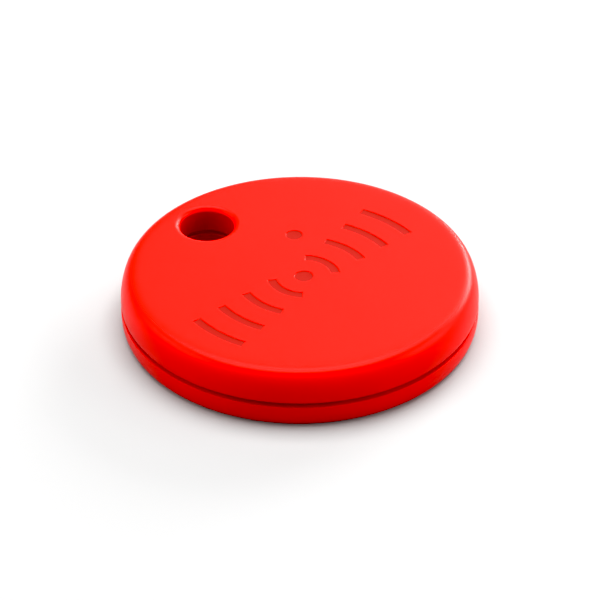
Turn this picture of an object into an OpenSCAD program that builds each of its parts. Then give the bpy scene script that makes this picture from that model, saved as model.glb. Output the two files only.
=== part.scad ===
// Keyring tracker tag: a round two-shell puck that is pressed on its face to sound a buzzer.
// The tag lies on its back cover. +Z points out of the face, +Y points from the centre to the keyring hole.

/* [Body] */
// Outside diameter of the tag
tag_d = 37.9; // [37.5:0.1:38.5]
// Thickness from the resting face to the pressed face
tag_h = 6.4; // [6.4:0.1:6.7]
// Height of the back cover's shoulder
shoulder_z = 2.4; // [2.2:0.1:2.5]
// Height of the gap between the two shells
seam_gap = 0.53; // [0.4:0.01:0.6]
// Thickness of the pressed face
face_t = 0.8; // [0.7:0.05:0.8]
// Thickness of the back cover's floor
floor_t = 0.7; // [0.6:0.05:0.7]

/* [Rounding] */
// How far the front shell's rim comes in, towards the face
rim_in = 2.8; // [2.4:0.1:3]
// How far down the front shell's rim curve reaches
rim_down = 3; // [2.8:0.02:3.2]
// How far the back cover's lower edge comes in
foot_in = 0.65; // [0.4:0.05:0.8]
// How far up the back cover's lower edge curve reaches
foot_up = 1.7; // [1.2:0.1:1.8]

/* [Keyring hole] */
// Radius of the hole
hole_r = 2.9; // [2.6:0.05:2.9]
// Distance from the tag's centre to the hole's centre
hole_y = 13.2; // [13:0.05:13.2]
// Rounding of the hole's lip on the face
lip_r = 0.65; // [0.5:0.05:0.7]
// Rounding of the hole's lip on the back
back_lip_r = 0.5; // [0.3:0.05:0.6]

/* [Engraving] */
// Depth of the engraved wave mark and dot
mark_depth = 0.1; // [0.1:0.05:0.25]
// Width of an engraved stroke
stroke = 1; // [0.8:0.05:1.1]
// Waves on each side of the mark's middle
waves = 4; // [3:1:4]

/* [Battery] */
// Coin cell diameter
cell_d = 20; // [20:0.1:20.1]
// Coin cell thickness
cell_h = 3.2; // [3.1:0.05:3.2]
// Distance that the cell sits below the tag's centre
cell_y = 3.2; // [3.1:0.05:3.3]

/* [Button] */
// Travel of the face when it is pressed
press_travel = 0.15; // [0.1:0.01:0.15]

/* [Hidden] */
$fn = 96;
cut = 1;
tag_r = tag_d / 2;
front_z = shoulder_z + seam_gap;
ceiling_z = tag_h - face_t;
wall_t = 1.2;
skirt_in = tag_r - wall_t;
dome_in = 1.5;
dome_up = 2;
rim_steps = 14;
face_ease = 0.39;
wall_ease = 1.34;
edge_break = 0.1;

// Keyring collars: the front shell's collar slides in the back cover's sleeve
collar_t = 0.8;
collar_r = hole_r + collar_t;
front_collar_lift = 0.6;
back_collar_lift = 0.63;
front_collar_z = front_z + front_collar_lift;
back_collar_z = shoulder_z + back_collar_lift;
sleeve_gap = 0.1;
sleeve_t = 0.6;
sleeve_in = collar_r + sleeve_gap;
sleeve_out = sleeve_in + sleeve_t;
sleeve_z = 4.45;
eyelet_ring_r = 0.16;
eyelet_groove_d = 0.25;
eyelet_groove_r = collar_r - eyelet_groove_d;
eyelet_groove_h = 0.4;
eyelet_z = 4.15;

// Back cover's spigot, with a seal groove outside and a snap groove inside
spigot_gap = 0.15;
spigot_t = 0.85;
spigot_out = skirt_in - spigot_gap;
spigot_in = spigot_out - spigot_t;
spigot_z = 3.9;
seal_z = 3.5;
seal_groove_h = 0.5;
seal_groove_d = 0.35;
seal_groove_r = spigot_out - seal_groove_d;
seal_wire_r = 0.22;
snap_z = 2.9;
snap_groove_h = 0.5;
snap_groove_d = 0.2;
pry_w = 7;
pry_h = 0.5;

// Inner frame
frame_gap = 0.2;
frame_t = 0.55;
frame_out = spigot_in - frame_gap;
frame_in = frame_out - frame_t;
frame_z = 1;
frame_top = 5.05;
flange_r = 17.05;
flange_z = 4.5;
flange_t = 0.4;
ledge_w = 0.7;
ledge_in = frame_in - ledge_w;
ledge_t = 0.3;
clip_reach = 0.45;
clip_in = frame_in - clip_reach;
clip_gap = 0.02;
pocket_gap = 0.2;
pocket_t = 0.55;
pocket_in = cell_d / 2 + pocket_gap;
pocket_out = pocket_in + pocket_t;
pocket_z = 1.3;
web_root = 0.1;
web_w = 0.8;
web_angles = [30, 150, 270];
web_t = 0.9;
tab_angles = [0, 180, 235, 305];
tab_w = 16;
tab_slot = 1.6;
tab_slot_z = 3.9;
bead_gap = 0.09;
bead_r = spigot_in - bead_gap;
bead_h = 0.4;
bead_w = 12;
frame_hole_gap = 0.2;
frame_hole_r = sleeve_out + frame_hole_gap;

// Hooks that hold the front shell on the frame
hook_in = 16.75;
hook_t = 0.28;
hook_gap = 0.02;
hook_w = 14;
hook_angles = [30, 150, 195, 240, 300, 345];

// Board and the stack on it
board_gap = 0.1;
board_r = frame_in - board_gap;
board_z = 4.35;
board_t = 0.5;
board_top = board_z + board_t;
board_notch_gap = 0.3;
board_notch_r = sleeve_out + board_notch_gap;

// Battery
pad_r = 6;
pad_t = 0.23;
cell_r = cell_d / 2;
cell_lift = 0.25;
cell_z = floor_t + cell_lift;
cell_top = cell_z + cell_h;
cell_wall = 0.25;
cell_steps = 5;
can_round = 0.4;
can_lip = 9.35;
lip_drop = 0.25;
fold_drop = 0.75;
crimp_h = 0.65;
can_top = cell_top - lip_drop;
can_fold_z = cell_top - fold_drop;
cap_r = 8.85;
cap_rise = 1.2;
cap_foot = cell_z + cap_rise;
cap_wall = 0.55;
crown_round = 0.35;
gasket_out = cell_r - cell_wall;
gasket_t = 0.3;
fill_gap = 0.05;
fill_r = cap_r - cap_wall - fill_gap;
anode_inset = 0.3;
cathode_t = 1.6;
separator_t = 0.08;
rest_r = 8.4;
rest_size = 2;
rest_t = 0.22;
rest_root = 0.05;

// Battery contacts
sheet_t = 0.1;
contact_gap = 0.02;
contact_base_r = 1.6;
contact_arm = 4.2;
contact_arm_w = 1.3;
contact_arm_root = 0.2;
clip_angles = [205, 335];
clip_w = 17;
grip_gap = 0.03;
grip_t = 0.15;
grip_in = cell_r + grip_gap;
grip_out = grip_in + grip_t;
clip_foot = 1.7;
clip_slot_w = 21;

// Buzzer
piezo_y = -8.6;
plate_r = 7;
plate_t = 0.1;
ceramic_r = 5.2;
ceramic_t = 0.1;
glue_t = 0.05;
glue_w = 1.2;
locator_t = 0.3;
locator_w = 0.4;
locator_gap = 0.1;
locator_in = plate_r + locator_gap;
locator_span = 30;
locator_angles = [30, 150, 270];
spring_w = 0.9;
spring_len = 2.6;
spring_foot = 1;
spring_tip = 0.5;

// Switch under the middle of the face
switch_y = 2;
switch_w = 3.2;
switch_d = 3;
switch_floor = 0.03;
switch_h = 0.29;
dome_r = 1.15;
dome_h = 0.17;
dome_t = 0.04;
dome_gap = 0.05;
cover_t = 0.06;
cover_ear = 1.8;
cover_lap = 0.08;
cover_drop = 0.2;
stem_r = 0.55;
stem_gap = 0.1;
stem_h = 0.57;
stem_top = board_top + stem_h;
plunger_flange_r = 0.85;
plunger_flange_t = 0.06;
plunger_gap = 0.01;
nub_r = 1;
nub_gap = 0.02;

// Engraved mark
mark_x = -0.6;
mark_y = -1.1;
wave_pitch = 3.4;
wave_half_h = 1.75;
wave_growth = 0.38;
mark_dot_r = 1;
spot_x = 4.5;
spot_y = 4.7;
spot_r = 0.91;

// Parts under the board
radio_size = [5, 5, 0.85];
radio_at = [-9.2, 8.2];
radio_turn = 48;
rf_crystal_size = [2, 1.6, 0.5];
rf_crystal_at = [-4.8, 9.2];
rf_crystal_turn = 20;
clock_crystal_size = [1.5, 3.2, 0.8];
clock_crystal_at = [-13.3, 1.55];
antenna_size = [2, 5.5, 1];
antenna_at = [-13, -3.2];
driver_size = [1.6, 2.9, 1.1];
driver_at = [12.9, 1.6];
lead_w = 0.4;
lead_pitch = 0.95;
lead_reach = 0.6;
lead_t = 0.15;
lead_rise = 0.5;
tantalum_size = [1.6, 3.2, 1.6];
tantalum_at = [13.1, -3.6];
coil_at = [9.2, 8.1];
coil_turn = 41;
coil_base = [4, 4, 0.4];
coil_post_r = 1;
coil_winding_r = 1.75;
coil_winding_h = 0.9;
coil_flange_r = 1.9;
coil_flange_t = 0.3;
small_size = [1, 0.5, 0.4];
capacitor_spots = [[5.3, 9.6], [4.1, 8.3], [5.6, 6.9], [-12.6, 5.9], [-5.4, 7.3]];
capacitor_turns = [30, 30, 60, 60, 120];
resistor_angles = [-24, -32, 204, 212];
resistor_reach = 12.6;

// Points of an elliptical arc, from angle a0 to angle a1
function arc(cx, cz, rx, rz, a0, a1, n) =
    [for (i = [0 : n]) let (a = a0 + (a1 - a0) * i / n) [cx + rx * cos(a), cz + rz * sin(a)]];

// Points of the rim's curve from the outer wall to the face, where it levels out slowly
function rim_curve(n) =
    [for (i = [0 : n]) let (a = 90 * i / n)
        [tag_r - rim_in * (1 - pow(cos(a), face_ease)), tag_h - rim_down * (1 - pow(sin(a), wall_ease))]];

// Part of a flat ring, centred on one direction
module ring_sector(r_in, r_out, middle, width) {
    reach = 2 * r_out;
    low = middle - width / 2;
    high = middle + width / 2;
    intersection() {
        difference() {
            circle(r_out);
            circle(r_in);
        }
        polygon([[0, 0], reach * [cos(low), sin(low)], reach * [cos(high), sin(high)]]);
    }
}

// A block that follows a ring, from z0 up by h
module arc_block(r_in, r_out, z0, h, middle, width) {
    translate([0, 0, z0]) linear_extrude(h) ring_sector(r_in, r_out, middle, width);
}

module tube(r_in, r_out, z0, h) {
    translate([0, 0, z0]) linear_extrude(h) difference() {
        circle(r_out);
        circle(r_in);
    }
}

module disc(r, z0, h) {
    translate([0, 0, z0]) cylinder(r = r, h = h);
}

module at_hole() {
    translate([0, hole_y, 0]) children();
}

module at_cell() {
    translate([0, -cell_y, 0]) children();
}

module at_piezo() {
    translate([0, piezo_y, 0]) children();
}

// A block soldered to the board's underside
module under_board(size, at, turn = 0) {
    translate([at.x, at.y, board_z - size.z / 2]) rotate([0, 0, turn]) cube(size, center = true);
}

// Material taken away to round a hole's lip, on a face that looks up at z = 0
module lip_cutter(r, round_r) {
    rotate_extrude() difference() {
        translate([r - edge_break, -round_r]) square([round_r + edge_break, round_r + cut]);
        translate([r + round_r, -round_r]) circle(round_r);
    }
}

// ---- Back cover and what stays with it ----

module back_outline() {
    polygon(concat(
        [[0, 0]],
        arc(tag_r - foot_in, foot_up, foot_in, foot_up, -90, 0, rim_steps),
        [[tag_r, shoulder_z - edge_break], [tag_r - edge_break, shoulder_z], [spigot_out, shoulder_z]],
        [[spigot_out, spigot_z - edge_break], [spigot_out - edge_break, spigot_z], [0, spigot_z]]
    ));
}

module back_cover() {
    color("#e0251a") difference() {
        union() {
            difference() {
                rotate_extrude() back_outline();
                disc(spigot_in, floor_t, tag_h);
            }
            intersection() {
                at_hole() disc(sleeve_out, floor_t / 2, sleeve_z - floor_t / 2);
                disc(spigot_out, 0, tag_h);
            }
            at_cell() for (a = [45 : 90 : 315])
                rotate([0, 0, a]) translate([rest_r, 0, floor_t + rest_t / 2 - rest_root])
                    cube([rest_size, rest_size, rest_t + 2 * rest_root], center = true);
        }
        at_hole() {
            disc(hole_r, -cut, tag_h);
            disc(sleeve_in, back_collar_z, tag_h);
            mirror([0, 0, 1]) lip_cutter(hole_r, back_lip_r);
        }
        tube(seal_groove_r, spigot_out + edge_break, seal_z - seal_groove_h / 2, seal_groove_h);
        tube(spigot_in - edge_break, spigot_in + snap_groove_d, snap_z - snap_groove_h / 2, snap_groove_h);
        translate([-pry_w / 2, skirt_in, shoulder_z - pry_h]) cube([pry_w, tag_r, pry_h + edge_break / 2]);
    }
}

module perimeter_seal() {
    color("#2b2b2d") translate([0, 0, seal_z]) rotate_extrude()
        translate([seal_groove_r + seal_wire_r, 0]) circle(seal_wire_r);
}

module battery_pad() {
    color("#3a3a3c") at_cell() disc(pad_r, floor_t, pad_t);
}

// ---- Core: frame, board and the parts on it ----

module frame_ring() {
    tube(frame_in, frame_out, frame_z, frame_top - frame_z);
    tube(frame_in, flange_r, flange_z, flange_t);
    tube(ledge_in, frame_in + edge_break, board_z - ledge_t, ledge_t);
    for (a = web_angles) arc_block(clip_in, frame_in + edge_break, board_top + clip_gap,
        frame_top - board_top - clip_gap, a, hook_w);
    for (a = tab_angles)
        arc_block(frame_out - edge_break, bead_r, snap_z - bead_h / 2, bead_h, a, bead_w);
}

module tab_slots() {
    for (a = tab_angles, side = [-1, 1])
        arc_block(frame_in - edge_break, frame_out + edge_break, frame_z - cut, tab_slot_z - frame_z + cut,
            a + side * (tab_w + tab_slot) / 2, tab_slot);
}

module battery_pocket() {
    difference() {
        at_cell() tube(pocket_in, pocket_out, pocket_z, board_z - pocket_z);
        at_cell() for (a = clip_angles)
            arc_block(pocket_in - cut, pocket_out + cut, pocket_z - cut, board_z, a, clip_slot_w);
    }
}

module webs() {
    intersection() {
        difference() {
            at_cell() for (a = web_angles) rotate([0, 0, a])
                translate([pocket_in + 2 * web_root, -web_w / 2, board_z - web_t])
                    cube([tag_r, web_w, web_t]);
            at_cell() disc(pocket_in + web_root, 0, tag_h);
        }
        disc(frame_in + edge_break, 0, tag_h);
    }
}

module inner_frame() {
    color("#e8e6e0") difference() {
        union() {
            difference() {
                frame_ring();
                tab_slots();
            }
            battery_pocket();
            webs();
        }
        at_hole() disc(frame_hole_r, -cut, tag_h + cut);
    }
}

module circuit_board() {
    color("#1d5c37") translate([0, 0, board_z]) linear_extrude(board_t) difference() {
        circle(board_r);
        at_hole() circle(board_notch_r);
    }
}

module radio_chip() {
    color("#26272a") under_board(radio_size, radio_at, radio_turn);
}

module rf_crystal() {
    color("#c9c9cc") under_board(rf_crystal_size, rf_crystal_at, rf_crystal_turn);
}

module clock_crystal() {
    color("#bfbfc4") under_board(clock_crystal_size, clock_crystal_at);
}

module chip_antenna() {
    color("#efeee8") under_board(antenna_size, antenna_at);
}

module buzzer_driver() {
    color("#2b2c30") under_board(driver_size, driver_at);
}

// One gull-wing lead, pointing along +X from the chip's side
module lead() {
    translate([-lead_t, -lead_w / 2, -lead_rise]) cube([lead_t * 2, lead_w, lead_rise]);
    translate([0, -lead_w / 2, -lead_t]) cube([lead_reach, lead_w, lead_t]);
}

module driver_leads() {
    color("#c4c4c8") difference() {
        translate([driver_at.x, driver_at.y, board_z]) for (side = [0, 180], row = [-1 : 1])
            rotate([0, 0, side]) translate([driver_size.x / 2, row * lead_pitch, 0]) lead();
        under_board(driver_size, driver_at);
    }
}

module at_coil() {
    translate([coil_at.x, coil_at.y, board_z]) rotate([180, 0, coil_turn]) children();
}

module coil_core() {
    winding_top = coil_base.z + coil_winding_h;
    color("#4a4a4e") at_coil() {
        translate([0, 0, coil_base.z / 2]) cube(coil_base, center = true);
        disc(coil_post_r, coil_base.z / 2, coil_winding_h + coil_base.z);
        disc(coil_flange_r, winding_top, coil_flange_t);
    }
}

module coil_winding() {
    color("#b5622a") at_coil() tube(coil_post_r, coil_winding_r, coil_base.z, coil_winding_h);
}

module bulk_capacitor() {
    color("#c98a2b") under_board(tantalum_size, tantalum_at);
}

module ceramic_capacitors() {
    color("#b59a78") for (i = [0 : len(capacitor_spots) - 1])
        under_board(small_size, capacitor_spots[i], capacitor_turns[i]);
}

module resistors() {
    color("#2e2e33") at_cell() for (a = resistor_angles)
        under_board(small_size, resistor_reach * [cos(a), sin(a)], a);
}

module negative_contact() {
    drop = board_z - sheet_t - cell_top - contact_gap;
    tilt = asin(drop / contact_arm);
    color("#d8c07a") at_cell() {
        disc(contact_base_r, board_z - sheet_t, sheet_t);
        for (a = [90 : 120 : 330])
            rotate([0, 0, a]) translate([contact_base_r - contact_arm_root, 0, board_z - sheet_t])
                rotate([0, tilt, 0]) translate([0, -contact_arm_w / 2, 0])
                    cube([contact_arm, contact_arm_w, sheet_t]);
    }
}

module positive_clips() {
    color("#d2d2d6") at_cell() for (a = clip_angles) {
        arc_block(grip_in, grip_out, pocket_z, board_z - pocket_z, a, clip_w);
        arc_block(grip_in, grip_out + clip_foot, board_z - sheet_t, sheet_t, a, clip_w);
    }
}

// A leaf that rises from its foot on the board to its tip at height h
module leaf(h) {
    tilt = atan((h - 2 * sheet_t) / spring_len);
    translate([-spring_foot, -spring_w / 2, 0]) cube([spring_foot + sheet_t, spring_w, sheet_t]);
    rotate([0, -tilt, 0]) translate([0, -spring_w / 2, 0]) cube([spring_len, spring_w, sheet_t]);
    translate([spring_len * cos(tilt) - spring_tip, -spring_w / 2, h - 1.5 * sheet_t])
        cube([spring_tip, spring_w, sheet_t]);
}

module buzzer_springs() {
    plate_under = ceiling_z - glue_t - plate_t - board_top - contact_gap;
    ceramic_under = plate_under - ceramic_t;
    plate_ring = (plate_r + ceramic_r) / 2;
    color("#d8c07a") at_piezo() {
        translate([-plate_ring, -spring_len, board_top]) rotate([0, 0, 90]) leaf(plate_under);
        translate([0, -spring_len / 2, board_top]) rotate([0, 0, 90]) leaf(ceramic_under);
    }
}

module at_switch() {
    translate([0, switch_y, board_top]) children();
}

module switch_base() {
    color("#1f1f22") at_switch() difference() {
        translate([-switch_w / 2, -switch_d / 2, 0]) cube([switch_w, switch_d, switch_h]);
        disc(dome_r, switch_floor, switch_h);
    }
}

module switch_cover() {
    color("#c8c8cc") at_switch() difference() {
        union() {
            translate([-switch_w / 2, -switch_d / 2, switch_h]) cube([switch_w, switch_d, cover_t]);
            for (side = [-1, 1])
                translate([side * (switch_w + cover_lap) / 2, 0, switch_h + cover_t - cover_drop / 2])
                    cube([cover_lap, cover_ear, cover_drop], center = true);
        }
        disc(stem_r + stem_gap, 0, switch_h + cut);
    }
}

module switch_dome() {
    ball_r = (dome_r * dome_r + dome_h * dome_h) / (2 * dome_h);
    color("#d9d9dc") at_switch() translate([0, 0, switch_floor]) rotate_extrude() intersection() {
        difference() {
            translate([0, dome_h - ball_r]) circle(ball_r);
            translate([0, dome_h - ball_r]) circle(ball_r - dome_t);
        }
        square([dome_r - dome_gap, dome_h + cut]);
    }
}

module switch_plunger() {
    flange_z0 = switch_floor + dome_h + plunger_gap;
    color("#e9e9ea") at_switch() {
        disc(plunger_flange_r, flange_z0, plunger_flange_t);
        disc(stem_r, flange_z0, stem_top - board_top - flange_z0);
    }
}

// ---- Front shell and what is fixed in it ----

module front_outline() {
    polygon(concat(
        [[0, front_z], [tag_r - edge_break, front_z], [tag_r, front_z + edge_break]],
        rim_curve(rim_steps),
        [[0, tag_h]]
    ));
}

module front_cavity() {
    polygon(concat(
        [[0, 0], [skirt_in, 0]],
        arc(skirt_in - dome_in, ceiling_z - dome_up, dome_in, dome_up, 0, 90, rim_steps),
        [[0, ceiling_z]]
    ));
}

// Concentric waves on both sides of a dot, and one small spot beside them
module engraving() {
    translate([mark_x, mark_y]) {
        circle(mark_dot_r);
        for (side = [0, 180], i = [1 : waves]) {
            wave_r = i * wave_pitch;
            half_h = wave_half_h + wave_growth * i;
            ring_sector(wave_r - stroke / 2, wave_r + stroke / 2, side, 2 * asin(half_h / wave_r));
        }
    }
    translate([spot_x, spot_y]) circle(spot_r);
}

module front_shell() {
    color("#ff2d1e") difference() {
        union() {
            difference() {
                rotate_extrude() front_outline();
                rotate_extrude() front_cavity();
            }
            at_hole() disc(collar_r, front_collar_z, ceiling_z - front_collar_z + face_t / 2);
            for (a = hook_angles)
                arc_block(hook_in, skirt_in + face_t / 2, flange_z - hook_gap - hook_t, hook_t, a, hook_w);
            translate([0, switch_y, 0]) disc(nub_r, stem_top + nub_gap, ceiling_z - stem_top);
            at_piezo() for (a = locator_angles)
                arc_block(locator_in, locator_in + locator_w, ceiling_z - locator_t, locator_t + edge_break,
                    a, locator_span);
        }
        at_hole() {
            disc(hole_r, -cut, tag_h + 2 * cut);
            translate([0, 0, tag_h]) lip_cutter(hole_r, lip_r);
            tube(eyelet_groove_r, collar_r + edge_break, eyelet_z - eyelet_groove_h / 2, eyelet_groove_h);
        }
        translate([0, 0, tag_h - mark_depth]) linear_extrude(mark_depth + cut) engraving();
    }
}

module eyelet_seal() {
    color("#2b2b2d") at_hole() translate([0, 0, eyelet_z]) rotate_extrude()
        translate([eyelet_groove_r + eyelet_ring_r, 0]) circle(eyelet_ring_r);
}

module buzzer_glue() {
    color("#ddd8c8") at_piezo() tube(plate_r - glue_w, plate_r, ceiling_z - glue_t, glue_t);
}

module buzzer_plate() {
    color("#c9a24a") at_piezo() disc(plate_r, ceiling_z - glue_t - plate_t, plate_t);
}

module buzzer_ceramic() {
    color("#dcdcda") at_piezo() disc(ceramic_r, ceiling_z - glue_t - plate_t - ceramic_t, ceramic_t);
}

// ---- Coin cell ----

module battery_can() {
    color("#c6c8cc") at_cell() rotate_extrude() difference() {
        polygon(concat(
            [[0, cell_z]],
            arc(cell_r - can_round, cell_z + can_round, can_round, can_round, -90, 0, cell_steps),
            arc(can_lip, can_top - crimp_h, cell_r - can_lip, crimp_h, 0, 90, cell_steps),
            [[can_lip, cell_z + cell_wall], [0, cell_z + cell_wall]]
        ));
        translate([0, cell_z + cell_wall]) square([cell_r - cell_wall, can_fold_z - cell_z - cell_wall]);
    }
}

module battery_gasket() {
    color("#3b3d42") at_cell() rotate_extrude() difference() {
        polygon([
            [cap_r - gasket_t, cap_foot - gasket_t], [gasket_out, cap_foot - gasket_t],
            [gasket_out, can_fold_z], [can_lip, can_fold_z], [can_lip, can_top], [cap_r, can_top]
        ]);
        translate([0, cap_foot]) square([cap_r, cell_h]);
    }
}

module battery_cap() {
    round_z = cell_top - crown_round;
    round_x = cap_r - edge_break - crown_round;
    color("#d4d6d9") at_cell() rotate_extrude() difference() {
        polygon(concat(
            [[0, cap_foot], [cap_r, cap_foot], [cap_r, round_z - edge_break]],
            arc(round_x, round_z, crown_round, crown_round, 0, 90, cell_steps),
            [[0, cell_top]]
        ));
        translate([0, cap_foot - cut]) square([cap_r - cap_wall, cell_top - cell_wall - cap_foot + cut]);
    }
}

module battery_cathode() {
    color("#2c2c2e") at_cell() disc(fill_r, cell_z + cell_wall, cathode_t);
}

module battery_separator() {
    color("#f2f2ee") at_cell() disc(fill_r, cell_z + cell_wall + cathode_t, separator_t);
}

module battery_anode() {
    low = cell_z + cell_wall + cathode_t + separator_t;
    color("#b9bcc0") at_cell() disc(fill_r - anode_inset, low, cell_top - cell_wall - low);
}

back_cover();
perimeter_seal();
battery_pad();
inner_frame();
circuit_board();
radio_chip();
rf_crystal();
clock_crystal();
chip_antenna();
buzzer_driver();
driver_leads();
coil_core();
coil_winding();
bulk_capacitor();
ceramic_capacitors();
resistors();
negative_contact();
positive_clips();
buzzer_springs();
switch_base();
switch_cover();
switch_dome();
switch_plunger();
front_shell();
eyelet_seal();
buzzer_plate();
buzzer_ceramic();
buzzer_glue();
battery_can();
battery_gasket();
battery_cap();
battery_cathode();
battery_separator();
battery_anode();
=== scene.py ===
"""A keyring tracker tag: two red shells, a sealed seam, and the board, buzzer, switch and cell inside."""
import bmesh
import bpy
import math
from mathutils import Matrix, Vector


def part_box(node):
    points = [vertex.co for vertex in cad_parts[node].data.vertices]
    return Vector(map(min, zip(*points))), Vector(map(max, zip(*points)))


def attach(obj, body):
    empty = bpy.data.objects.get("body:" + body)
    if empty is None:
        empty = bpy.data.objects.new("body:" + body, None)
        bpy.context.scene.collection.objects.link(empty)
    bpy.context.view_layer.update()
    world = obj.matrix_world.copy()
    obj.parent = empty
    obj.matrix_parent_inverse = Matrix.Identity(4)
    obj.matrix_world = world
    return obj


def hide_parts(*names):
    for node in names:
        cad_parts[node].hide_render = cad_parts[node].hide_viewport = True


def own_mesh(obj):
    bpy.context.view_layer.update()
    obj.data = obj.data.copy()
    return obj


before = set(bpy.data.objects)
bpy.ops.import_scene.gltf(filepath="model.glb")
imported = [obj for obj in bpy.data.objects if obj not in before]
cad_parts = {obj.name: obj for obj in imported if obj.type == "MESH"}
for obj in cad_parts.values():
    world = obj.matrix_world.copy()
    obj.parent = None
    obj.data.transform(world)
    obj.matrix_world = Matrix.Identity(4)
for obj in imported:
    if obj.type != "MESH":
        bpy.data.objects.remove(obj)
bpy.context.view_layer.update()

# All shapes are made in millimetres and scaled once, when a piece is placed.
MM = 0.001
TURN = 256
SMALL_TURN = 96


def size_of(node):
    """Lowest and highest corner of a CAD node, in millimetres."""
    lo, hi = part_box(node)
    return lo / MM, hi / MM


# ---- Driving dimensions, from the frame where it holds them ----

front_lo, front_hi = size_of("front_shell")
back_lo, back_hi = size_of("back_cover")
TAG_R = front_hi.x
TAG_H = front_hi.z
SEAM_TOP = front_lo.z
SHOULDER_Z = 2.4
SPIGOT_TOP = 3.9
SLEEVE_TOP = back_hi.z
CEILING_Z = 5.6
FLOOR_Z = 0.7
SKIRT_IN = 17.75
SPIGOT_OUT = 17.6
SPIGOT_IN = 16.75
RIM_IN = 2.8
RIM_DOWN = 3.0
FACE_EASE = 0.39
WALL_EASE = 1.34
FOOT_IN = 0.65
FOOT_UP = 1.7
DOME_IN = 1.5
DOME_UP = 2.0
EDGE_R = 0.12

HOLE = Vector((0, 13.2, 0))
HOLE_R = 2.9
LIP_R = 0.65
BACK_LIP_R = 0.5
COLLAR_R = 3.7
FRONT_COLLAR_Z = 3.53
BACK_COLLAR_Z = 3.03
SLEEVE_IN = 3.8
SLEEVE_OUT = 4.4

MARK = Vector((-0.6, -1.1, 0))
SPOT = Vector((4.5, 4.7, 0))
MARK_DEPTH = 0.1
STROKE = 1.0
WAVES = 4
WAVE_PITCH = 3.4
WAVE_HALF_H = 1.75
WAVE_GROWTH = 0.38
MARK_DOT_R = 1.0
SPOT_R = 0.91


# ---- Outlines ----

def arc(cx, cy, rx, ry, start, end, steps):
    """Points of an elliptical arc between two angles in degrees."""
    turn = [math.radians(start + (end - start) * i / steps) for i in range(steps + 1)]
    return [(cx + rx * math.cos(a), cy + ry * math.sin(a)) for a in turn]


def circle(radius, steps=SMALL_TURN, centre=(0, 0)):
    return arc(centre[0], centre[1], radius, radius, 0, 360 * (steps - 1) / steps, steps - 1)


def sector(r_in, r_out, middle, width, steps=28):
    """Outline of part of a flat ring."""
    low, high = middle - width / 2, middle + width / 2
    return arc(0, 0, r_out, r_out, low, high, steps) + arc(0, 0, r_in, r_in, high, low, steps)


def rectangle(w, d, corner=0.0, steps=4):
    """Outline of a rectangle with round corners, about the origin."""
    if corner <= 0:
        return [(w / 2, -d / 2), (w / 2, d / 2), (-w / 2, d / 2), (-w / 2, -d / 2)]
    x, y = w / 2 - corner, d / 2 - corner
    spots = [(x, -y, -90), (x, y, 0), (-x, y, 90), (-x, -y, 180)]
    return [p for cx, cy, a in spots for p in arc(cx, cy, corner, corner, a, a + 90, steps)]


# ---- Solids in mesh code ----

def new_piece(bm, name="part"):
    bmesh.ops.recalc_face_normals(bm, faces=bm.faces)
    mesh = bpy.data.meshes.new(name)
    bm.to_mesh(mesh)
    bm.free()
    piece = bpy.data.objects.new(name, mesh)
    bpy.context.scene.collection.objects.link(piece)
    return piece


def loft(rings):
    """A closed solid through rings of equally many points, with a flat cap on both ends."""
    bm = bmesh.new()
    rows = [[bm.verts.new(p) for p in ring] for ring in rings]
    count = len(rings[0])
    for low, high in zip(rows, rows[1:]):
        for i in range(count):
            j = (i + 1) % count
            bm.faces.new((low[i], low[j], high[j], high[i]))
    bm.faces.new(rows[0])
    bm.faces.new(rows[-1])
    return new_piece(bm)


def lathe(profile, steps=TURN, centre=(0, 0), closed=False):
    """A profile of (radius, height) turned about Z. Its ends are capped, or joined if it is closed."""
    bm = bmesh.new()
    turns = [2 * math.pi * i / steps for i in range(steps)]
    rows = [[bm.verts.new((centre[0] + r * math.cos(t), centre[1] + r * math.sin(t), z)) for t in turns]
            for r, z in profile]
    pairs = list(zip(rows, rows[1:]))
    if closed:
        pairs.append((rows[-1], rows[0]))
    for low, high in pairs:
        for i in range(steps):
            j = (i + 1) % steps
            bm.faces.new((low[i], low[j], high[j], high[i]))
    if not closed:
        bm.faces.new(rows[0])
        bm.faces.new(rows[-1])
    return new_piece(bm)


def prism(outline, z0, z1, bevel=0.0, centre=(0, 0), turn=0.0):
    """An outline raised from z0 to z1, with chamfered rims."""
    c, s = math.cos(math.radians(turn)), math.sin(math.radians(turn))

    def ring(z, inset):
        points = shrink(outline, inset)
        return [(centre[0] + c * x - s * y, centre[1] + s * x + c * y, z) for x, y in points]

    if bevel <= 0:
        return loft([ring(z0, 0), ring(z1, 0)])
    return loft([ring(z0, bevel), ring(z0 + bevel, 0), ring(z1 - bevel, 0), ring(z1, bevel)])


def shrink(outline, inset):
    """The outline moved inwards by inset; outwards if it is negative."""
    if inset == 0:
        return outline
    count = len(outline)
    moved = []
    for i, (x, y) in enumerate(outline):
        ax, ay = outline[i - 1]
        bx, by = outline[(i + 1) % count]
        ux, uy = x - ax, y - ay
        vx, vy = bx - x, by - y
        ul, vl = math.hypot(ux, uy), math.hypot(vx, vy)
        n1, n2 = (-uy / ul, ux / ul), (-vy / vl, vx / vl)
        scale = inset / (1 + n1[0] * n2[0] + n1[1] * n2[1])
        moved.append((x + (n1[0] + n2[0]) * scale, y + (n1[1] + n2[1]) * scale))
    return moved


def combine(piece, others, operation):
    """Joins the others to the piece, or cuts them out of it, and keeps the result in its mesh."""
    for other in others:
        step = piece.modifiers.new("step", "BOOLEAN")
        step.operation = operation
        step.solver = "EXACT"
        step.object = other
        graph = bpy.context.evaluated_depsgraph_get()
        result = bpy.data.meshes.new_from_object(piece.evaluated_get(graph))
        piece.modifiers.clear()
        old = piece.data
        piece.data = result
        bpy.data.meshes.remove(old)
        discard(other)
    return piece


def add(piece, *others):
    return combine(piece, others, "UNION")


def cut(piece, *others):
    return combine(piece, others, "DIFFERENCE")


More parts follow.
